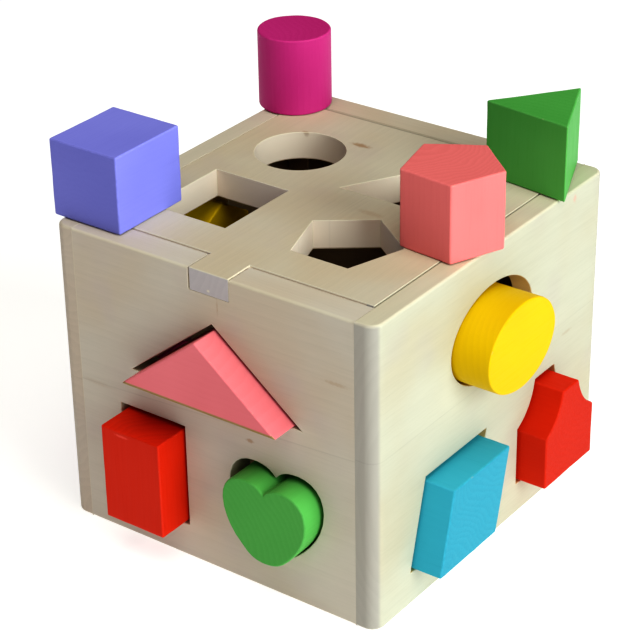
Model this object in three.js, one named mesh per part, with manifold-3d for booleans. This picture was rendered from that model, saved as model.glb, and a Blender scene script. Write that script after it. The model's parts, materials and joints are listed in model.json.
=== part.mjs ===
// Wooden shape sorter: an open box of five glued boards with a lift-off lid, and thirteen painted
// blocks that each match one hole. Four blocks stand on the lid and nine sit part way through the
// side holes. Millimetres, +Z up, +Y towards the back; the origin is under the middle of the box.
import * as THREE from 'three';
import * as BufferGeometryUtils from 'three/addons/utils/BufferGeometryUtils.js';
import Module from 'manifold-3d';

const wasm = await Module();
wasm.setup();

// ---- Driving dimensions -------------------------------------------------------------------------
const boxWidth = 140;
const boxDepth = 150;
const boxHeight = 122;
const sideThickness = 8.6;
const endThickness = 12;
const cornerRadius = 5;
const baseThickness = 8;
const lidThickness = 11;
const lidPlay = 0.6;
const glueGap = 0.3;
const restGap = 0.3;
const tabWidth = 17;
const tabThickness = 8.2;
const tabPlay = 0.4;
const tabCentre = 0.5;
const lidRestSize = 10;
const lidRestHeight = 16;
const blockLength = 30;
const cylinderLength = 31.4;
const cutMargin = 2;

const innerX = boxWidth / 2 - sideThickness;
const innerY = boxDepth / 2 - endThickness;

// ---- Finishes -----------------------------------------------------------------------------------
const finish = (color, roughness) => new THREE.MeshStandardMaterial({ color, roughness, metalness: 0 });
const wood = finish('#d9cbad', 0.62);
const paint = {
  violet: finish('#7a78dc', 0.38),
  magenta: finish('#c8237c', 0.38),
  salmon: finish('#e8726c', 0.42),
  green: finish('#3d9a38', 0.38),
  pink: finish('#e86a72', 0.42),
  red: finish('#d0200f', 0.36),
  yellow: finish('#f3d000', 0.36),
  cyan: finish('#37b2cf', 0.38),
};

// ---- Outlines: closed 2-D curves about their own centre, u to the right and v up ------------------
const points = (shape, divisions = 10) => {
  const list = shape.getPoints(divisions);
  if (list[0].distanceTo(list.at(-1)) < 1e-6) list.pop();
  return THREE.ShapeUtils.isClockWise(list) ? list.reverse() : list;
};

const polygon = (corners) => points(new THREE.Shape(corners.map(([u, v]) => new THREE.Vector2(u, v))));

function rectangle(width, height) {
  const [u, v] = [width / 2, height / 2];
  return polygon([[-u, -v], [u, -v], [u, v], [-u, v]]);
}

function oval(width, height, segments = 48) {
  return points(new THREE.Shape().absellipse(0, 0, width / 2, height / 2, 0, 2 * Math.PI), segments);
}

// A regular polygon whose first corner points at the angle `turn`, in degrees.
function regular(count, radius, turn) {
  const corner = (i) => {
    const angle = THREE.MathUtils.degToRad(turn + (360 * i) / count);
    return [radius * Math.cos(angle), radius * Math.sin(angle)];
  };
  return polygon(Array.from({ length: count }, (_, i) => corner(i)));
}

function gable(width, height) {
  return polygon([[-width / 2, -height / 2], [width / 2, -height / 2], [0, height / 2]]);
}

function parallelogram(base, height, lean) {
  const [left, right, v] = [-(base + lean) / 2, (base + lean) / 2, height / 2];
  return polygon([[left, -v], [right - lean, -v], [right, v], [left + lean, v]]);
}

function trapezoid(base, top, height) {
  const v = height / 2;
  return polygon([[-base / 2, -v], [base / 2, -v], [top / 2, v], [-top / 2, v]]);
}

function dome(width, height) {
  const radius = width / 2;
  const floor = -height / 2;
  const shape = new THREE.Shape().moveTo(-radius, floor);
  shape.lineTo(radius, floor).lineTo(radius, floor + height - radius);
  shape.absarc(0, floor + height - radius, radius, 0, Math.PI);
  return points(shape, 24);
}

// A plump heart: shallow notch, round lobes and a rounded tip.
function heart(width, height) {
  const [w, h] = [width / 2, height / 2];
  const half = (side, shape) => {
    shape.bezierCurveTo(side * 0.12 * w, 0.96 * h, side * 0.28 * w, h, side * 0.46 * w, h);
    shape.bezierCurveTo(side * 0.79 * w, h, side * w, 0.75 * h, side * w, 0.36 * h);
    shape.bezierCurveTo(side * w, -0.12 * h, side * 0.72 * w, -0.54 * h, side * 0.44 * w, -0.82 * h);
    shape.bezierCurveTo(side * 0.3 * w, -0.95 * h, side * 0.15 * w, -h, 0, -h);
  };
  const right = new THREE.Shape().moveTo(0, 0.78 * h);
  half(1, right);
  const left = new THREE.Shape().moveTo(0, 0.78 * h);
  half(-1, left);
  return [...right.getPoints(6), ...left.getPoints(6).reverse().slice(1, -1)].reverse();
}

// A square body with a flat top joined to it by two hollow curves.
function bell(width, height, topWidth, bodyHeight) {
  const [w, v, t] = [width / 2, height / 2, topWidth / 2];
  const shoulder = bodyHeight - v;
  const shape = new THREE.Shape().moveTo(-w, -v);
  shape.lineTo(w, -v).lineTo(w, shoulder);
  shape.quadraticCurveTo(t + 0.22 * (w - t), shoulder + 0.3 * (v - shoulder), t, v);
  shape.lineTo(-t, v);
  shape.quadraticCurveTo(-t - 0.22 * (w - t), shoulder + 0.3 * (v - shoulder), -w, shoulder);
  return points(shape, 8);
}

// The same outline moved outwards by `distance` all round, with mitred corners.
function grown(outline, distance) {
  const normal = (a, b) => new THREE.Vector2(b.y - a.y, a.x - b.x).normalize();
  return outline.map((point, i) => {
    const before = normal(outline.at(i - 1), point);
    const after = normal(point, outline[(i + 1) % outline.length]);
    const mitre = distance / (1 + before.dot(after));
    return point.clone().add(before.add(after).multiplyScalar(mitre));
  });
}

// ---- Solids -------------------------------------------------------------------------------------
const prism = (outline, depth) =>
  new THREE.ExtrudeGeometry(new THREE.Shape(outline), { depth, bevelEnabled: false, steps: 1 });

function cuboid([lowX, highX], [lowY, highY], [lowZ, highZ]) {
  const geometry = new THREE.BoxGeometry(highX - lowX, highY - lowY, highZ - lowZ);
  return geometry.translate((lowX + highX) / 2, (lowY + highY) / 2, (lowZ + highZ) / 2);
}

function toSolid(geometry) {
  const bare = geometry.clone();
  bare.deleteAttribute('normal');
  bare.deleteAttribute('uv');
  const merged = BufferGeometryUtils.mergeVertices(bare, 1e-4);
  const vertProperties = new Float32Array(merged.attributes.position.array);
  const triVerts = new Uint32Array(merged.index.array);
  return new wasm.Manifold(new wasm.Mesh({ numProp: 3, vertProperties, triVerts }));
}

function toGeometry(solid) {
  const { vertProperties, triVerts, numProp } = solid.getMesh();
  const positions = new Float32Array((vertProperties.length / numProp) * 3);
  for (let i = 0; i < positions.length; i += 1) {
    positions[i] = vertProperties[Math.floor(i / 3) * numProp + (i % 3)];
  }
  const geometry = new THREE.BufferGeometry();
  geometry.setAttribute('position', new THREE.BufferAttribute(positions, 3));
  geometry.setIndex(new THREE.BufferAttribute(new Uint32Array(triVerts), 1));
  return geometry.toNonIndexed();
}

function cutAll(geometry, cutters) {
  const result = cutters.reduce((body, cutter) => body.subtract(toSolid(cutter)), toSolid(geometry));
  return toGeometry(result);
}

// ---- Faces: where an outline lies on the box, seen from outside -----------------------------------
const [X, Y, Z] = [new THREE.Vector3(1, 0, 0), new THREE.Vector3(0, 1, 0), new THREE.Vector3(0, 0, 1)];
const back = (direction) => direction.clone().negate();
const faces = {
  top: { right: X, up: Y, out: Z, reach: boxHeight, wall: lidThickness },
  front: { right: X, up: Z, out: back(Y), reach: boxDepth / 2, wall: endThickness },
  right: { right: Y, up: Z, out: X, reach: boxWidth / 2, wall: sideThickness },
  left: { right: back(Y), up: Z, out: back(X), reach: boxWidth / 2, wall: sideThickness },
};

const turnOnto = ({ right, up, out }) => new THREE.Matrix4().makeBasis(right, up, out);

const placeOn = ({ right, up, out, reach }, [u, v], height) =>
  out.clone().multiplyScalar(reach + height).addScaledVector(right, u).addScaledVector(up, v);

// The through hole for one block: its outline with play all round, or an opening of its own, cut
// longer than the wall is thick.
function holeCutter({ face, outline, play, hole, opening = grown(outline, play) }) {
  const side = faces[face];
  const cutter = prism(opening, side.wall + 2 * cutMargin);
  const matrix = turnOnto(side).setPosition(placeOn(side, hole, -side.wall - cutMargin));
  return cutter.applyMatrix4(matrix);
}

const holesIn = (face) => blocks.filter((block) => block.face === face).map(holeCutter);

// ---- The thirteen blocks --------------------------------------------------------------------------
// hole: middle of the hole on its face. seat: middle of the block on the same face. A block with
// `proud` is pushed in until that much is left outside; the others stand on the lid, turned by `spin`
// degrees. play: gap round the block in its hole.
const blocks = [
  {
    name: 'square_block', face: 'top', paint: paint.violet, outline: rectangle(31, 35), play: 1.2,
    hole: [-32.7, -25.6], seat: [-57.9, -53.0], length: blockLength,
  },
  {
    name: 'round_block', face: 'top', paint: paint.magenta, outline: oval(29.2, 29.2),
    opening: oval(35, 35), hole: [-33.3, 24], seat: [-63.1, 61.2], length: cylinderLength,
  },
  {
    name: 'pentagon_block', face: 'top', paint: paint.salmon, outline: regular(5, 19.3, 90), play: 1.1,
    hole: [25.8, -28.5], seat: [55.9, -7.4], spin: -77.4, length: blockLength,
  },
  {
    name: 'triangle_block', face: 'top', paint: paint.green, outline: regular(3, 21.6, 90), play: 1.1,
    hole: [18.6, 17.8], seat: [55.9, 53.4], spin: -7.2, length: blockLength,
  },
  {
    name: 'gable_block', face: 'front', paint: paint.pink, outline: gable(69, 27.3), play: 1.2,
    hole: [1.3, 87.3], seat: [1.8, 86.7], proud: 11,
  },
  {
    name: 'rectangle_block', face: 'front', paint: paint.red, outline: rectangle(27, 39.4), play: 1.4,
    hole: [-28.2, 35.2], seat: [-27.6, 34.9], proud: 14,
  },
  {
    name: 'heart_block', face: 'front', paint: paint.green, outline: heart(36.8, 32.8),
    opening: heart(41, 36.4), hole: [27.3, 34.9], seat: [27.9, 33.8], proud: 8.6,
  },
  {
    name: 'oval_block', face: 'right', paint: paint.yellow, outline: oval(44.6, 34.2),
    opening: oval(53.8, 37.6), hole: [-1.9, 88.4], seat: [-5.9, 88.6], proud: 15,
  },
  {
    name: 'parallelogram_block', face: 'right', paint: paint.cyan, outline: parallelogram(36.7, 32.8, 8.5),
    play: 1.5, hole: [-28.9, 31.2], seat: [-29.8, 31], proud: 12,
  },
  {
    name: 'bell_block', face: 'right', paint: paint.red, outline: bell(34.2, 37.3, 11.3, 21.8), play: 1.5,
    hole: [36.2, 33.3], seat: [35.8, 33], proud: 12,
  },
  {
    name: 'hexagon_block', face: 'left', paint: paint.yellow, outline: regular(6, 19, 90), play: 1.3,
    hole: [3.7, 88.3], seat: [3.7, 87.6], proud: 10,
  },
  {
    name: 'trapezoid_block', face: 'left', paint: paint.magenta, outline: trapezoid(38, 24, 32), play: 1.3,
    hole: [25, 32.3], seat: [25.3, 31.7], proud: 12,
  },
  {
    name: 'dome_block', face: 'left', paint: paint.violet, outline: dome(38, 27), play: 1.3,
    hole: [-31, 32.3], seat: [-30.7, 31.7], proud: 9,
  },
];

function blockMesh({ name, face, paint: material, outline, seat, proud, spin = 0, length = blockLength }) {
  const side = faces[face];
  const mesh = new THREE.Mesh(prism(outline, length), material);
  mesh.name = name;
  mesh.setRotationFromMatrix(turnOnto(side));
  mesh.rotateZ(THREE.MathUtils.degToRad(spin));
  mesh.position.copy(placeOn(side, seat, proud === undefined ? restGap : proud - length));
  return mesh;
}

// ---- The box ------------------------------------------------------------------------------------
function board(name, geometry) {
  const mesh = new THREE.Mesh(geometry, wood);
  mesh.name = name;
  return mesh;
}

// A side wall runs the full depth and carries the two rounded upright corners on its side.
function sideWall(name, face) {
  const sign = faces[face].out.x;
  const [outer, inner, end] = [boxWidth / 2, innerX, boxDepth / 2];
  const plan = new THREE.Shape().moveTo(inner, -end);
  plan.lineTo(outer - cornerRadius, -end);
  plan.absarc(outer - cornerRadius, -end + cornerRadius, cornerRadius, -Math.PI / 2, 0);
  plan.absarc(outer - cornerRadius, end - cornerRadius, cornerRadius, 0, Math.PI / 2);
  plan.lineTo(inner, end);
  const outline = points(plan, 8).map(({ x, y }) => new THREE.Vector2(sign * x, y));
  if (sign < 0) outline.reverse();
  return board(name, cutAll(prism(outline, boxHeight), holesIn(face)));
}

// The front and back walls fit between the side walls.
function endWall(name, sign, cutters) {
  const halfWidth = innerX - glueGap;
  const reach = [innerY, boxDepth / 2].map((y) => sign * y).sort((a, b) => a - b);
  return board(name, cutAll(cuboid([-halfWidth, halfWidth], reach, [0, boxHeight]), cutters));
}

// The notch in the top of the front wall that the lid's finger tab lies in.
function tabNotch() {
  const halfWidth = tabWidth / 2 + tabPlay;
  return cuboid(
    [tabCentre - halfWidth, tabCentre + halfWidth],
    [-boxDepth / 2 - cutMargin, -innerY + cutMargin],
    [boxHeight - tabThickness - tabPlay, boxHeight + cutMargin],
  );
}

function baseBoard() {
  const [x, y] = [innerX - glueGap, innerY - glueGap];
  return board('base_board', cuboid([-x, x], [-y, y], [0, baseThickness]));
}

// The lid drops between the walls; its tab reaches through the notch to the front face.
function lidBoard() {
  const [x, y] = [innerX - lidPlay, innerY - lidPlay];
  const panel = toSolid(cuboid([-x, x], [-y, y], [boxHeight - lidThickness, boxHeight]));
  const tab = cuboid(
    [tabCentre - tabWidth / 2, tabCentre + tabWidth / 2],
    [-boxDepth / 2, -y + cutMargin],
    [boxHeight - tabThickness, boxHeight],
  );
  return board('lid', cutAll(toGeometry(panel.add(toSolid(tab))), holesIn('top')));
}

// Four small glued blocks in the corners, which the lid rests on.
function lidRests() {
  const top = boxHeight - lidThickness - restGap;
  const span = (sign, inner) => {
    const [far, near] = [inner - glueGap, inner - glueGap - lidRestSize];
    return sign > 0 ? [near, far] : [-far, -near];
  };
  const corners = { front_left: [-1, -1], front_right: [1, -1], back_left: [-1, 1], back_right: [1, 1] };
  return Object.entries(corners).map(([corner, [signX, signY]]) => {
    const block = cuboid(span(signX, innerX), span(signY, innerY), [top - lidRestHeight, top]);
    return board(`lid_rest_${corner}`, block);
  });
}

const box = new THREE.Group();
box.add(baseBoard(), sideWall('left_wall', 'left'), sideWall('right_wall', 'right'));
box.add(endWall('front_wall', -1, [tabNotch(), ...holesIn('front')]), endWall('back_wall', 1, []));
box.add(...lidRests());

const shapeSorter = new THREE.Group();
shapeSorter.add(box, lidBoard(), ...blocks.map(blockMesh));

export default shapeSorter;
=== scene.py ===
"""Looks for the wooden shape sorter: bare basswood boards, painted blocks, floor, light and camera."""
import json
import math

import bmesh
import bpy
from mathutils import Matrix, Vector, noise


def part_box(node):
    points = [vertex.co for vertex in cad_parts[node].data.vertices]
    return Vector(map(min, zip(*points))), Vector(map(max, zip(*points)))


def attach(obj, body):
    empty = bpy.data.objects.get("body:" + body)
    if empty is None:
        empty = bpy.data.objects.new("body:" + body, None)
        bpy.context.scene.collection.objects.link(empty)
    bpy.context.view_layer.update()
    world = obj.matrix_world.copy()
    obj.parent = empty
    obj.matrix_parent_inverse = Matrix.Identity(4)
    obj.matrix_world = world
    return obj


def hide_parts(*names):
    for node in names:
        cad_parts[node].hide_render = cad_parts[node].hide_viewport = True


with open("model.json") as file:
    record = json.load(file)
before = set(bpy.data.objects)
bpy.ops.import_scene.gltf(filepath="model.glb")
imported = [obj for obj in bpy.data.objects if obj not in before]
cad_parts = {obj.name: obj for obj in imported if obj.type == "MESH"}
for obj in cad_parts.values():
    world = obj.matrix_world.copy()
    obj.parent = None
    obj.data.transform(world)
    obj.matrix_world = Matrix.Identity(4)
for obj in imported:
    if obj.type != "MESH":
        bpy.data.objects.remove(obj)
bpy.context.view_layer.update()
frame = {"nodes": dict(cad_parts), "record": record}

MM = 0.001
bodies = frame["record"]["behaviour"]["bodies"]
body_of_node = {node: body for body, nodes in bodies.items() for node in nodes}
slot_of_node = {row["node"]: row["material_slot"] for row in frame["record"]["subparts"]}
blocks = [node for node in body_of_node if node.endswith("_block")]

box_low = Vector([min(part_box(node)[0][i] for node in bodies["box"]) for i in range(3)])
box_high = Vector([max(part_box(node)[1][i] for node in bodies["box"]) for i in range(3)])


# ---- Shaping: every piece starts from its CAD solid and gets sanded, rounded edges ---------------
WELD_DISTANCE = 0.02 * MM
FLAT_ANGLE = math.radians(0.5)
# How far each kind of edge is rounded.
BLOCK_EDGE = 0.7 * MM
OUTER_EDGE = 1.2 * MM
HOLE_EDGE = 0.45 * MM
LID_EDGE = 0.75 * MM
TAB_EDGE = 0.12 * MM
SEAM_EDGE = 0.05 * MM
ROUNDING_SEGMENTS = 3
SHARP_ANGLE = math.radians(28)
# Points closer than this to a face of the CAD box lie on it, and edges this near an outline are part of it.
TOUCHING = 0.05 * MM
NEAR_EDGE = 1.5 * MM
OUTER_SKIN = 6 * MM
# How the boards are eased to fit: glue fills the joints, the lid stands proud, its tab sits snugly.
GLUED_GAP = 0.30 * MM
LID_PROUD = 0.27 * MM
TAB_FIT = 0.30 * MM
# Hand-sanded blocks: how far a point may stray, how often an edge is split, and the noise's frequency.
WOBBLE = 0.28 * MM
WOBBLE_STEP = 3.5 * MM
WOBBLE_SCALE = 130.0


def clean_mesh(node):
    """The CAD solid as few flat faces, in a bmesh."""
    bm = bmesh.new()
    bm.from_mesh(frame["nodes"][node].data)
    bmesh.ops.remove_doubles(bm, verts=bm.verts, dist=WELD_DISTANCE)
    bmesh.ops.dissolve_limit(bm, angle_limit=FLAT_ANGLE, verts=bm.verts, edges=bm.edges)
    bmesh.ops.recalc_face_normals(bm, faces=bm.faces)
    return bm


def close_glued_joints(bm, node):
    """Lengthens the front and back walls a hair, so that their glued joints show no dark gap."""
    if node not in ("front_wall", "back_wall"):
        return
    low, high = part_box(node)
    for vert in bm.verts:
        if abs(vert.co.x - high.x) < TOUCHING:
            vert.co.x += GLUED_GAP
        elif abs(vert.co.x - low.x) < TOUCHING:
            vert.co.x -= GLUED_GAP


def finger_tab():
    """The middle, the half width and the underside of the lid's finger tab, from the CAD lid."""
    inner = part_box("front_wall")[1].y - 1 * MM
    points = [vert.co for vert in frame["nodes"]["lid"].data.vertices if vert.co.y < inner]
    left, right = min(point.x for point in points), max(point.x for point in points)
    return (left + right) / 2, (right - left) / 2, min(point.z for point in points)


def fit_lid(bm):
    """The lid stands a hair proud of the walls, and its tab fits closely below and on the right."""
    top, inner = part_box("lid")[1].z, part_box("front_wall")[1].y - 0.5 * MM
    tab_middle = finger_tab()[0]
    for vert in bm.verts:
        on_tab = vert.co.y < inner
        if top - vert.co.z < TOUCHING:
            vert.co.z += LID_PROUD
        if on_tab and vert.co.x > tab_middle:
            vert.co.x += TAB_FIT
        if on_tab and vert.co.z < top - 1 * MM:
            vert.co.z -= TAB_FIT


def hand_made(bm, node):
    """Splits the long edges and moves every point a little inwards, so no edge is perfectly straight."""
    for edge in list(bm.edges):
        cuts = int(edge.calc_length() / WOBBLE_STEP) - 1
        if cuts > 0 and edge.calc_face_angle(0) > SHARP_ANGLE:
            bmesh.ops.subdivide_edges(bm, edges=[edge], cuts=cuts)
    low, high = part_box(node)
    middle = (low + high) / 2
    for vert in bm.verts:
        depth = 0.5 + 0.5 * noise.noise(vert.co * WOBBLE_SCALE + Vector((len(node), 0, 0)))
        vert.co -= (vert.co - middle).normalized() * depth * WOBBLE


def on_outside(normal, point):
    """True where a face with this normal at this point is part of the box's outer surface."""
    for axis in range(3):
        if normal[axis] > 0.5 and point[axis] > box_high[axis] - OUTER_SKIN:
            return True
        if normal[axis] < -0.5 and point[axis] < box_low[axis] + OUTER_SKIN:
            return True
    return False


def on_lid_outline(point):
    """True on the lid's outer edges, its tab's among them."""
    low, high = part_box("lid")
    on_side = min(point.x - low.x, high.x - point.x) < NEAR_EDGE
    on_back = high.y - point.y < NEAR_EDGE
    return on_side or on_back or point.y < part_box("front_wall")[1].y + 2 * MM


def beside_tab(point):
    """True under the finger tab and on its right, where it fits its notch closely."""
    middle, half, underside = finger_tab()
    if point.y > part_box("front_wall")[0].y + NEAR_EDGE or point.z < underside - NEAR_EDGE:
        return False
    under = abs(point.x - middle) < half + 1 * MM and point.z < underside + NEAR_EDGE
    right = abs(point.x - middle - half) < NEAR_EDGE
    return under or (right and point.z < box_high.z - 1 * MM)


def on_glued_joint(point):
    """True where the front or back wall meets a side wall."""
    beside = abs(abs(point.x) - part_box("front_wall")[1].x) < 0.5 * MM
    return beside and abs(point.y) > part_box("lid")[1].y


def edge_radius(node, edge):
    """How far an edge is rounded: outer arrises most, glued seams hardly at all."""
    if node in blocks:
        return BLOCK_EDGE
    middle = (edge.verts[0].co + edge.verts[1].co) / 2
    if beside_tab(middle):
        return TAB_EDGE
    if node == "lid":
        return LID_EDGE if on_lid_outline(middle) else HOLE_EDGE
    if on_glued_joint(middle):
        return SEAM_EDGE
    outside = [on_outside(face.normal, middle) for face in edge.link_faces]
    return OUTER_EDGE if all(outside) else HOLE_EDGE


def rounded_piece(node):
    """A new mesh object for one CAD node, with rounded edges and an edge_rounding attribute on them."""
    bm = clean_mesh(node)
    close_glued_joints(bm, node)
    if node in blocks:
        hand_made(bm, node)
    if node == "lid":
        fit_lid(bm)
    widest = BLOCK_EDGE if node in blocks else OUTER_EDGE
    weight = bm.edges.layers.float.new("bevel_weight_edge")
    for edge in bm.edges:
        if len(edge.link_faces) == 2 and edge.calc_face_angle(0) > SHARP_ANGLE:
            edge[weight] = edge_radius(node, edge) / widest
            edge.smooth = edge[weight] > 0
    mesh = bpy.data.meshes.new(node + "_sanded")
    bm.to_mesh(mesh)
    bm.free()
    mesh.materials.append(None)
    mesh.materials.append(None)
    piece = bpy.data.objects.new(node + "_sanded", mesh)
    bpy.context.scene.collection.objects.link(piece)
    bevel = piece.modifiers.new("rounding", "BEVEL")
    bevel.limit_method = "WEIGHT"
    bevel.width = widest
    bevel.segments = ROUNDING_SEGMENTS
    bevel.material = 1
    bevel.use_clamp_overlap = True
    bpy.context.view_layer.update()
    shaped = bpy.data.meshes.new_from_object(piece.evaluated_get(bpy.context.evaluated_depsgraph_get()))
    piece.modifiers.clear()
    piece.data = shaped
    mark_edges(shaped)
    shaped.polygons.foreach_set("use_smooth", [True] * len(shaped.polygons))
    normals = piece.modifiers.new("flat faces stay flat", "WEIGHTED_NORMAL")
    normals.weight = 100
    normals.keep_sharp = True
    return piece


def mark_edges(mesh):
    """Stores edge_rounding = 1 on the points in the middle of a rounded edge and 0 on flat faces."""
    flat = {v for face in mesh.polygons if face.material_index == 0 for v in face.vertices}
    wear = mesh.attributes.new("edge_rounding", "FLOAT", "POINT")
    wear.data.foreach_set("value", [0.0 if v.index in flat else 1.0 for v in mesh.vertices])
    mesh.polygons.foreach_set("material_index", [0] * len(mesh.polygons))
    while len(mesh.materials) > 0:
        mesh.materials.pop()


# ---- Node materials -----------------------------------------------------------------------------
class Graph:
    """Adds and links shader nodes in one material."""

    def __init__(self, name):
        self.material = bpy.data.materials.new(name)
        self.material.use_nodes = True
        self.tree = self.material.node_tree
        self.tree.nodes.clear()

    def add(self, kind, inputs=None, **settings):
        node = self.tree.nodes.new("ShaderNode" + kind)
        for key, value in settings.items():
            setattr(node, key, value)
        for key, value in (inputs or {}).items():
            self.put(node.inputs[key], value)
        return node

    def put(self, socket, value):
        if isinstance(value, bpy.types.NodeSocket):
            self.tree.links.new(value, socket)
        else:
            socket.default_value = value

    def math(self, operation, *values):
        return self.add("Math", dict(enumerate(values)), operation=operation).outputs[0]

    def step(self, value, low, high, to_low=0.0, to_high=1.0):
        inputs = {"Value": value, "From Min": low, "From Max": high, "To Min": to_low, "To Max": to_high}
        return self.add("MapRange", inputs, interpolation_type="SMOOTHSTEP").outputs[0]

    def noise(self, vector, scale, detail=2.0, roughness=0.5):
        inputs = {"Vector": vector, "Scale": scale, "Detail": detail, "Roughness": roughness}
        return self.add("TexNoise", inputs).outputs["Fac"]

    def vector(self, operation, *values):
        node = self.add("VectorMath", dict(enumerate(values)), operation=operation)
        return node.outputs["Value" if operation in ("LENGTH", "DOT_PRODUCT") else "Vector"]

    def mix(self, factor, one, two, blend="MIX"):
        node = self.add("Mix", data_type="RGBA", blend_type=blend, clamp_factor=True)
        for index, value in ((0, factor), (6, one), (7, two)):
            self.put(node.inputs[index], value)
        return node.outputs[2]

    def finish(self, **inputs):
        shader = self.add("BsdfPrincipled", {key.replace("_", " "): value for key, value in inputs.items()})
        self.add("OutputMaterial", {"Surface": shader.outputs[0]})


# Solid wood, in millimetres: one growth ring of a board and of a block, how far the rings stray and how
# slowly, how much slower everything changes along the fibres, and the noise scales across them.
BOARD_RING = 3.4
BLOCK_RING = 2.6
RING_STRAY = 26.0
RING_STRAY_SCALE = 0.045
ALONG_FIBRES = 0.045
FIBRE_SCALE = 1.3
PORE_SCALE = 3.4
BLOTCH_SCALE = 0.017
# A ring darkens slowly through the early wood and ends sharply after the late wood.
EARLY_WOOD = (0.0, 0.82)
LATE_WOOD = (0.86, 1.0)
# A face counts as end grain as it turns across the fibres: the first and the last of the change.
END_GRAIN = (0.25, 0.60)
# The grain's own axis, then the two axes across it.
GRAIN_AXES = {"X": (0, 1, 2), "Y": (1, 2, 0), "Z": (2, 0, 1)}


def solid_wood(graph, grain, pith, seed, ring):
    """Solid textures, 0 to 1, for wood whose fibres run along `grain`.

    Returns the place in millimetres, and the ring, fibre, pore, blotch and end-grain values."""
    coordinates = graph.add("TexCoord")
    place = graph.vector("MULTIPLY", coordinates.outputs["Object"], (1 / MM, 1 / MM, 1 / MM))
    shifted = graph.vector("ADD", place, (seed * 37.0, seed * -53.0, seed * 71.0))
    split = graph.add("SeparateXYZ", {0: shifted}).outputs
    along, side, other = GRAIN_AXES[grain]
    slow = graph.math("MULTIPLY", split[along], ALONG_FIBRES)
    stretched = graph.add("CombineXYZ", {0: split[side], 1: split[other], 2: slow}).outputs[0]
    wander = graph.noise(stretched, RING_STRAY_SCALE, 1.5)
    bend = graph.math("MULTIPLY", graph.math("SUBTRACT", wander, 0.5), RING_STRAY)
    middle = graph.add("SeparateXYZ", {0: place}).outputs
    across = graph.math("ADD", graph.math("SUBTRACT", middle[side], pith[0]), bend)
    upward = graph.math("SUBTRACT", middle[other], pith[1])
    radius = graph.vector("LENGTH", graph.add("CombineXYZ", {0: across, 1: upward}).outputs[0])
    phase = graph.math("FRACT", graph.math("DIVIDE", radius, ring))
    rings = graph.math("MULTIPLY", graph.step(phase, *EARLY_WOOD), graph.step(phase, *LATE_WOOD, 1.0, 0.0))
    fibres = graph.noise(stretched, FIBRE_SCALE, 4.0, 0.62)
    pores = graph.step(graph.noise(stretched, PORE_SCALE), 0.63, 0.74)
    blotches = graph.noise(shifted, BLOTCH_SCALE, 2.5, 0.55)
    facing = graph.add("SeparateXYZ", {0: coordinates.outputs["Normal"]}).outputs[along]
    end_grain = graph.step(graph.math("ABSOLUTE", facing), *END_GRAIN)
    return place, rings, fibres, pores, blotches, end_grain


def darkened(graph, colour, amount, factor):
    """`colour` made darker by up to `factor` where `amount` is 1."""
    shade = graph.math("SUBTRACT", 1.0, graph.math("MULTIPLY", amount, factor))
    grey = graph.add("CombineColor", {0: shade, 1: shade, 2: shade}).outputs[0]
    return graph.mix(1.0, colour, grey, "MULTIPLY")


def spot(graph, place, centre, size):
    """1 in a soft, ragged ellipsoid about `centre`, in millimetres, and 0 outside it."""
    local = graph.vector("SUBTRACT", place, tuple(centre))
    scaled = graph.vector("DIVIDE", local, tuple(size))
    ragged = graph.math("MULTIPLY", graph.math("SUBTRACT", graph.noise(place, 0.9, 3.0), 0.5), 0.9)
    return graph.step(graph.math("ADD", graph.vector("LENGTH", scaled), ragged), 0.25, 1.0, 1.0, 0.0)


# Linear colours of the wood: bare faces, end grain, pale edges (rubbed wear and a painted highlight), knots
# and filler, a brown strip at a block's foot, hole walls (partly painted light) and the painted shade for
# the inside of the box.
PALE_WOOD = (0.700, 0.628, 0.468, 1)
WARM_WOOD = (0.680, 0.575, 0.400, 1)
PINK_WOOD = (0.645, 0.550, 0.440, 1)
END_WOOD = (0.520, 0.445, 0.375, 1)
GREY_END = (0.440, 0.420, 0.490, 1)
WORN_WOOD = (0.800, 0.730, 0.550, 1)
KNOT_BROWN = (0.330, 0.160, 0.050, 1)
FILLER_PINK = (0.660, 0.300, 0.240, 1)
FOOT_BROWN = (0.330, 0.225, 0.090, 1)
PAINTED_LIT_HOLE_TAN = (0.800, 0.560, 0.250, 1)
HOLE_BROWN = (0.420, 0.340, 0.250, 1)
PAINTED_LIT_CUT_WOOD = (0.880, 0.750, 0.625, 1)
INSIDE_SHADE = (0.50, 0.40, 0.30, 1)
# How much darker rings, fibres, pores and the rings on end grain are than the wood between them.
RING_DARKNESS = 0.022
FIBRE_DARKNESS = 0.034
PORE_DARKNESS = 0.045
END_RING_DARKNESS = 0.028
# How far the edges are made pale, as rubbed wear and as a painted highlight: the lid is handled most.
LID_WEAR_AND_HIGHLIGHT = 0.60
BOARD_WEAR_AND_HIGHLIGHT = 0.25
# Specular level of bare and of painted wood, and the depth of the fibres' relief.
WOOD_GLOSS = 0.3
PAINT_GLOSS = 0.12
BUMP_DEPTH = 0.07 * MM


def normal_along(graph, axis):
    """The piece's own surface normal along one axis, -1 to 1."""
    return graph.add("SeparateXYZ", {0: graph.add("TexCoord").outputs["Normal"]}).outputs[axis]


# Millimetres past the walls' inner faces that still count as inside, so that the faces themselves do.
SIDE_SLACK = 0.6
END_SLACK = 0.4
# Millimetres along a board's outline where there are no holes.
EDGE_MARGIN = 3


def inside_box(graph, place):
    """1 on the faces inside the box, which get painted shade, 0 elsewhere."""
    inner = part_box("front_wall")[1]
    half_width, half_depth = inner.x / MM + SIDE_SLACK, -inner.y / MM + END_SLACK
    split = graph.add("SeparateXYZ", {0: place}).outputs
    within_x = graph.math("SUBTRACT", half_width, graph.math("ABSOLUTE", split[0]))
    within_y = graph.math("SUBTRACT", half_depth, graph.math("ABSOLUTE", split[1]))
    below_lid = graph.math("SUBTRACT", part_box("lid")[0].z / MM + END_SLACK, split[2])
    least = graph.math("MINIMUM", graph.math("MINIMUM", within_x, within_y), below_lid)
    return graph.math("GREATER_THAN", least, 0.0)


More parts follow.
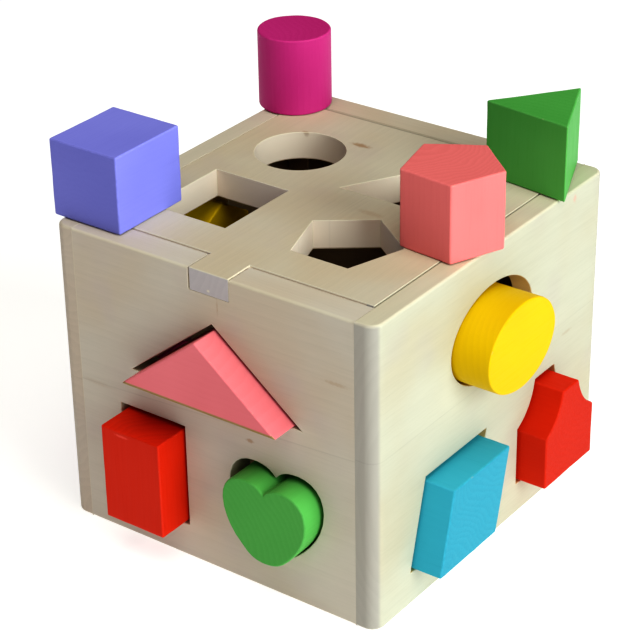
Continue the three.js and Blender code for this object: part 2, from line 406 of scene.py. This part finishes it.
def cut_walls(graph, place, node):
    """1 on the walls of a board's holes, 0 on its faces and its outer edges."""
    low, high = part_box(node)
    thin = min(range(3), key=lambda axis: high[axis] - low[axis])
    split = graph.add("SeparateXYZ", {0: place}).outputs
    mask = graph.step(graph.math("ABSOLUTE", normal_along(graph, thin)), 0.35, 0.75, 1.0, 0.0)
    for axis in (axis for axis in range(3) if axis != thin):
        centre = (low[axis] + high[axis]) / 2 / MM
        reach = (high[axis] - low[axis]) / 2 / MM - EDGE_MARGIN
        apart = graph.math("ABSOLUTE", graph.math("SUBTRACT", split[axis], centre))
        mask = graph.math("MULTIPLY", mask, graph.math("LESS_THAN", apart, reach))
    return mask


def bare_wood(node, grain, pith, seed):
    """Fine-sanded basswood with a thin clear coat, this board's own tone, seams and marks, and painted
    light and shade on its upward faces, hole walls, edges, inside and gap.
    """
    graph = Graph("wood_" + node)
    place, rings, fibres, pores, blotches, end_grain = solid_wood(graph, grain, pith, seed, BOARD_RING)
    colour = graph.mix(graph.step(blotches, 0.40, 0.66), PALE_WOOD, WARM_WOOD)
    colour = graph.mix(graph.step(graph.noise(place, 0.03), 0.52, 0.72, 0.0, 0.55), colour, PINK_WOOD)
    colour = darkened(graph, colour, rings, RING_DARKNESS)
    colour = darkened(graph, colour, graph.step(fibres, 0.40, 0.74), FIBRE_DARKNESS)
    colour = darkened(graph, colour, pores, PORE_DARKNESS)
    end_tint = graph.math("MULTIPLY", end_grain, END_TINTS.get(node, PLAIN_END_TINT))
    colour = graph.mix(end_tint, colour, GREY_END if node == "lid" else END_WOOD)
    colour = darkened(graph, colour, graph.math("MULTIPLY", end_grain, rings), END_RING_DARKNESS)
    # Painted light: upward faces take their own colour, which makes the front and right walls' rims lighter
    # than their sides.
    face_tone, top_painted_light = TONES.get(node, PLAIN_TONE), TOP_FACE_PAINTED_LIGHT.get(node, PLAIN_TOP_LIGHT_PAINT)
    tone = graph.mix(graph.step(normal_along(graph, 2), 0.4, 0.9), (*face_tone, 1), (*top_painted_light, 1))
    colour = graph.mix(1.0, colour, tone, "MULTIPLY")
    # Painted light: the lid's and the right wall's hole walls are coloured paler, as if lit; the front
    # wall's are browner.
    if node in HOLE_WALL_TINT_AND_LIGHT:
        colour = graph.mix(cut_walls(graph, place, node), colour, HOLE_WALL_TINT_AND_LIGHT[node])
    # Painted shade: the faces inside the box are darkened and browned where the closed box is dark.
    inside_painted_shade = graph.mix(inside_box(graph, place), (1, 1, 1, 1), INSIDE_SHADE)
    colour = graph.mix(1.0, colour, inside_painted_shade, "MULTIPLY")
    # Dark glue lines, and on the back wall and the lid a band of painted shade in the gap between them.
    for across, value, width, strength in SEAMS_AND_GAP_SHADE.get(node, ()):
        level = graph.vector("DOT_PRODUCT", place, across)
        apart = graph.math("ABSOLUTE", graph.math("SUBTRACT", level, value))
        colour = darkened(graph, colour, graph.step(apart, 0.0, width, 1.0, 0.0), strength)
    for centre, size, tint, strength in MARKS.get(node, ()):
        mask = graph.math("MULTIPLY", spot(graph, place, centre, size), strength)
        colour = graph.mix(mask, colour, tint)
    # Pale edges: rubbed wear and a painted highlight along the rounded edges.
    wear = graph.add("Attribute", attribute_name="edge_rounding").outputs["Fac"]
    rubbed_and_highlight = graph.math("MULTIPLY", wear, LID_WEAR_AND_HIGHLIGHT if node == "lid" else BOARD_WEAR_AND_HIGHLIGHT)
    colour = graph.mix(rubbed_and_highlight, colour, WORN_WOOD)
    roughness = graph.step(fibres, 0.3, 0.75, 0.50, 0.64)
    relief = graph.math("ADD", graph.math("MULTIPLY", fibres, 0.6), graph.math("MULTIPLY", pores, -0.55))
    relief = graph.math("ADD", relief, graph.math("MULTIPLY", rings, 0.25))
    bump = graph.add("Bump", {"Height": relief, "Strength": 0.25, "Distance": BUMP_DEPTH}).outputs[0]
    graph.finish(Base_Color=colour, Roughness=roughness, Normal=bump, Specular_IOR_Level=WOOD_GLOSS)
    return graph.material


def brown_foot_strip(graph, place, node):
    """1 on a thin strip along the bottom of the block's front face, which is coloured brown, 0 elsewhere.
    """
    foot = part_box(node)[0].z / MM + BROWN_FOOT_STRIPS[node]
    height = graph.add("SeparateXYZ", {0: place}).outputs[2]
    frontal = graph.step(normal_along(graph, 1), -0.7, -0.3, 1.0, 0.0)
    return graph.math("MULTIPLY", graph.step(height, foot, foot + 0.5, 1.0, 0.0), frontal)


def painted_wood(node, paint, grain, pith, seed):
    """Thin satin paint that lets rings and fibres show faintly, rubbed thinner along the edges, with
    painted shade on the faces across the grain.
    """
    graph = Graph("paint_" + node)
    place, rings, fibres, pores, blotches, end_grain = solid_wood(graph, grain, pith, seed, BLOCK_RING)
    base = (*paint, 1)
    deep = (*[value ** 1.18 * 0.82 for value in paint], 1)
    pale = (*[min(1.0, value * 1.06 + 0.02) for value in paint], 1)
    colour = graph.mix(graph.step(blotches, 0.35, 0.7, 0.0, 0.35), base, deep)
    ring_depth = graph.step(end_grain, 0, 1, SIDE_RING_DEPTH, RING_DEPTHS.get(node, END_RING_DEPTH))
    colour = graph.mix(graph.math("MULTIPLY", rings, ring_depth), colour, deep)
    colour = graph.mix(graph.step(fibres, 0.5, 0.78, 0.0, 0.14), colour, deep)
    # Painted shade on the faces across the grain.
    colour = darkened(graph, colour, end_grain, END_FACE_PAINTED_SHADE.get(node, 0.0))
    specks = graph.step(graph.noise(place, 1.9, 3.0, 0.6), 0.68, 0.74, 0.0, 0.12)
    colour = graph.mix(specks, colour, pale)
    wear = graph.add("Attribute", attribute_name="edge_rounding").outputs["Fac"]
    patches = graph.step(graph.noise(place, 0.45, 3.0, 0.6), 0.38, 0.66, 0.15, 0.4)
    colour = graph.mix(graph.math("MULTIPLY", wear, patches), colour, pale)
    bare = graph.math("MULTIPLY", wear, graph.step(graph.noise(place, 0.32, 4.0, 0.7), 0.63, 0.70))
    colour = graph.mix(graph.math("MULTIPLY", bare, 0.18), colour, WARM_WOOD)
    # A brown line along the bottom edge of the front face.
    if node in BROWN_FOOT_STRIPS:
        colour = graph.mix(brown_foot_strip(graph, place, node), colour, FOOT_BROWN)
    for centre, size in SCUFFS.get(node, ()):
        mask = graph.math("MULTIPLY", spot(graph, place, centre, size), 0.6)
        colour = graph.mix(mask, colour, (*[min(1.0, value * 1.2 + 0.08) for value in paint], 1))
    roughness = graph.step(fibres, 0.3, 0.75, 0.45, 0.59)
    relief = graph.math("ADD", graph.math("MULTIPLY", fibres, 0.5), graph.math("MULTIPLY", pores, -0.5))
    relief = graph.math("ADD", relief, graph.math("MULTIPLY", rings, 0.35))
    relief = graph.math("ADD", relief, graph.math("MULTIPLY", graph.noise(place, 0.8, 2.0), 0.5))
    bump = graph.add("Bump", {"Height": relief, "Strength": 0.30, "Distance": BUMP_DEPTH}).outputs[0]
    graph.finish(Base_Color=colour, Roughness=roughness, Normal=bump, Specular_IOR_Level=PAINT_GLOSS)
    return graph.material


# ---- Finishes -------------------------------------------------------------------------------------
# Linear colours of the paints.
PAINTS = {
    "violet_paint": (0.2905, 0.2906, 0.8468),
    "magenta_paint": (0.6234, 0.0456, 0.2621),
    "salmon_paint": (0.8724, 0.2205, 0.2221),
    "green_paint": (0.1160, 0.4301, 0.1001),
    "pink_paint": (0.8191, 0.2229, 0.2550),
    "red_paint": (0.6601, 0.0253, 0.0034),
    "yellow_paint": (0.7610, 0.5024, 0.0001),
    "cyan_paint": (0.0549, 0.4179, 0.5748),
}
# The axis that the fibres run along. A corner rest's run upright.
BLOCK_GRAIN = {"round_block": "Z", "rectangle_block": "Z", "gable_block": "X", "square_block": "Y",
               "pentagon_block": "Z", "triangle_block": "Z", "heart_block": "Y", "oval_block": "Y",
               "parallelogram_block": "X", "bell_block": "X", "hexagon_block": "Y", "trapezoid_block": "Y",
               "dome_block": "Y"}
BOARD_GRAIN = {"base_board": "X", "left_wall": "Y", "right_wall": "Y", "front_wall": "X",
               "back_wall": "X", "lid": "Y"}
# How strongly rings show through the paint: on a block's sides, and on its ends.
SIDE_RING_DEPTH = 0.04
END_RING_DEPTH = 0.14
RING_DEPTHS = {"pentagon_block": 0.22, "rectangle_block": 0.28, "square_block": 0.06}
# Painted shade: the faces across each block's grain are darkened, so that side of the block is darker than
# the others.
END_FACE_PAINTED_SHADE = {"square_block": 0.26, "parallelogram_block": 0.22, "bell_block": 0.14, "heart_block": 0.09}
# Millimetres of brown strip along the bottom of a block's front face.
BROWN_FOOT_STRIPS = {"gable_block": 1.0}
# How strongly end grain takes its own colour, each board's tone on its faces, and painted light on its top
# edge: upward faces take their own colour, the front and right walls' rims lighter than their sides.
PLAIN_END_TINT = 0.45
END_TINTS = {"right_wall": 0.90, "left_wall": 0.42, "lid": 0.62}
PLAIN_TONE = (1, 1, 1)
PLAIN_TOP_LIGHT_PAINT = (0.92, 0.92, 1.00)
LID_TONE = (0.925, 0.93, 0.995)
TOP_FACE_PAINTED_LIGHT = {"front_wall": (0.94, 0.95, 1.09), "right_wall": (0.96, 0.99, 1.04), "lid": LID_TONE}
TONES = {"front_wall": (0.82, 0.82, 0.94), "right_wall": (0.755, 0.81, 0.875),
         "left_wall": (0.88, 0.86, 0.93), "lid": LID_TONE}

front_y, right_x, top_z = box_low.y / MM, box_high.x / MM, box_high.z / MM
# Knots, flecks, a filled nail hole: the centre and the half size in millimetres, the colour, the strength.
MARKS = {
    "lid": [((-17, 41, top_z), (6.0, 2.2, 2.0), KNOT_BROWN, 0.65),
            ((-42, 39.5, top_z), (2.6, 1.0, 2.0), KNOT_BROWN, 0.45),
            ((20, -5.7, top_z), (8, 2.2, 2.0), KNOT_BROWN, 0.22),
            ((0.4, front_y, 115.2), (0.9, 2.0, 0.7), WORN_WOOD, 0.6)],
    "front_wall": [((16.5, front_y, 60.7), (2.4, 2.0, 1.1), KNOT_BROWN, 0.55),
                   ((4.1, front_y, 110), (0.45, 2.0, 4.5), KNOT_BROWN, 0.30),
                   ((-54, front_y, 61), (9, 2.0, 1.3), KNOT_BROWN, 0.14),
                   ((54, front_y, 96), (7, 2.0, 1.1), KNOT_BROWN, 0.26)],
    "right_wall": [((right_x, 53.2, 118.4), (2.0, 1.6, 2.2), FILLER_PINK, 0.50),
                   ((right_x, 51, 63.7), (2.0, 5.0, 1.0), KNOT_BROWN, 0.22)],
}
# Edge-glued boards: the direction across each joint, its place along that direction, its half width
# and its strength. The last entries of the back wall and the lid are the shaded gap between the two.
SEAMS_AND_GAP_SHADE = {"front_wall": [((-0.06, 0, 1), 64.4, 0.45, 0.10)],
         "right_wall": [((0, 0, 1), 69.0, 0.45, 0.08)],
         "left_wall": [((0, 0, 1), 60.0, 0.45, 0.08)],
         "back_wall": [((0, 0, 1), 66.0, 0.45, 0.10), ((0, 1, 0), 63.2, 0.80, 0.35)],
         "lid": [((1, 0, 0), 11.0, 0.45, 0.05), ((0, 1, 0), 62.2, 1.40, 0.60)]}
# Colours of the hole walls: painted light on the lid's and the right wall's, a darker brown on the front
# wall's; and pale scuffs on the paint: the centre and the half size.
HOLE_WALL_TINT_AND_LIGHT = {"lid": PAINTED_LIT_CUT_WOOD, "right_wall": PAINTED_LIT_HOLE_TAN, "front_wall": HOLE_BROWN}
SCUFFS = {"rectangle_block": [((-31.5, -89, 52.6), (4.2, 1.5, 0.8))]}


# How far from a piece the middle of its tree was, in millimetres, and how that turns from piece to piece.
BLOCK_PITH = 46
BOARD_PITH = 95
PITH_TURN = 2.4


def pith_of(node, grain, seed):
    """Where the middle of the tree was, across the grain, in millimetres: well outside the piece."""
    low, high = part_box(node)
    middle = [(low[i] + high[i]) / 2 / MM for i in range(3)]
    side, other = GRAIN_AXES[grain][1:]
    angle = PITH_TURN * seed
    reach = BLOCK_PITH if node in blocks else BOARD_PITH
    return middle[side] + reach * math.cos(angle), middle[other] + reach * math.sin(angle)


def make_pieces():
    """Replaces every CAD node with its rounded piece and its own material."""
    for seed, node in enumerate(sorted(body_of_node), start=1):
        piece = rounded_piece(node)
        slot = slot_of_node[node]
        if node in blocks:
            grain = BLOCK_GRAIN[node]
            material = painted_wood(node, PAINTS[slot], grain, pith_of(node, grain, seed), seed)
        else:
            grain = BOARD_GRAIN.get(node, "Z")
            material = bare_wood(node, grain, pith_of(node, grain, seed), seed)
        piece.data.materials.append(material)
        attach(piece, body_of_node[node])
        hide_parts(node)


# ---- Floor, light and camera ------------------------------------------------------------------------
# The floor card: half its size in metres, its colour and its own faint light.
FLOOR_HALF = 6.0
FLOOR_GREY = (0.70, 0.70, 0.70, 1)
FLOOR_GLOW = 0.44
# Soft square lights: direction from the box, distance and size in metres, power in watts, tint.
SOFTBOXES = {
    "key": ((0.92, -0.11, 0.36), 2.8, 1.9, 58.0, (0.90, 1.0, 0.97)),
    "top": ((0.18, -0.20, 0.95), 1.6, 1.2, 11.7, (1.0, 0.97, 0.86)),
    "front": ((0.45, -0.62, 0.64), 1.7, 0.9, 1.1, (0.95, 0.97, 1.0)),
}
WHITE = (1, 1, 1, 1)
STUDIO_GLOW = 0.02


def make_floor():
    """A pale card under the box, lit a little from within so that it stays white to its edges."""
    mesh = bpy.data.meshes.new("floor")
    signs = [(-1, -1), (1, -1), (1, 1), (-1, 1)]
    corners = [(x * FLOOR_HALF, y * FLOOR_HALF, box_low.z) for x, y in signs]
    mesh.from_pydata(corners, [], [(0, 1, 2, 3)])
    floor = bpy.data.objects.new("floor", mesh)
    bpy.context.scene.collection.objects.link(floor)
    graph = Graph("floor_card")
    graph.finish(Base_Color=FLOOR_GREY, Roughness=0.7, Emission_Color=WHITE, Emission_Strength=FLOOR_GLOW)
    mesh.materials.append(graph.material)


def softbox(name, direction, distance, size, power, tint):
    """A square area light that faces the middle of the box."""
    middle = (box_low + box_high) / 2
    data = bpy.data.lights.new(name, "AREA")
    data.size = size
    data.energy = power
    data.color = tint
    light = bpy.data.objects.new(name, data)
    bpy.context.scene.collection.objects.link(light)
    light.location = middle + Vector(direction).normalized() * distance
    light.rotation_euler = (middle - light.location).to_track_quat("-Z", "Y").to_euler()


def make_light():
    """The softboxes, a faint white world, and a plain view transform with some contrast."""
    for name, settings in SOFTBOXES.items():
        softbox(name, *settings)
    world = bpy.data.worlds.new("studio")
    world.use_nodes = True
    background = world.node_tree.nodes["Background"].inputs
    background["Color"].default_value = WHITE
    background["Strength"].default_value = STUDIO_GLOW
    bpy.context.scene.world = world
    bpy.context.scene.view_settings.view_transform = "Standard"
    bpy.context.scene.view_settings.look = "High Contrast"


# The camera, from the azimuth and the elevation that it looks from. The lens and the sensor are in mm.
CAMERA_AZIMUTH = math.radians(36.43)
CAMERA_ELEVATION = math.radians(28.60)
CAMERA_ROLL = math.radians(-0.94)
CAMERA_TARGET = Vector((32.66, -54.51, 104.70)) * MM
CAMERA_DISTANCE = 758.1 * MM
SENSOR_WIDTH = 36
FOCAL_LENGTH = 124.26


def make_camera():
    """The camera stands in front of the near right corner, above the top of the box."""
    back = Vector((math.sin(CAMERA_AZIMUTH) * math.cos(CAMERA_ELEVATION),
                   -math.cos(CAMERA_AZIMUTH) * math.cos(CAMERA_ELEVATION),
                   math.sin(CAMERA_ELEVATION)))
    level = Vector((0, 0, 1)).cross(back).normalized()
    upright = back.cross(level)
    right = level * math.cos(CAMERA_ROLL) + upright * math.sin(CAMERA_ROLL)
    up = upright * math.cos(CAMERA_ROLL) - level * math.sin(CAMERA_ROLL)
    data = bpy.data.cameras.new("camera")
    data.sensor_width = SENSOR_WIDTH
    data.lens = FOCAL_LENGTH
    data.clip_start = 0.05
    data.clip_end = 50
    camera = bpy.data.objects.new("camera", data)
    bpy.context.scene.collection.objects.link(camera)
    turn = Matrix((right, up, back)).transposed().to_4x4()
    camera.matrix_world = Matrix.Translation(CAMERA_TARGET + back * CAMERA_DISTANCE) @ turn
    bpy.context.scene.camera = camera


make_pieces()
make_floor()
make_light()
make_camera()
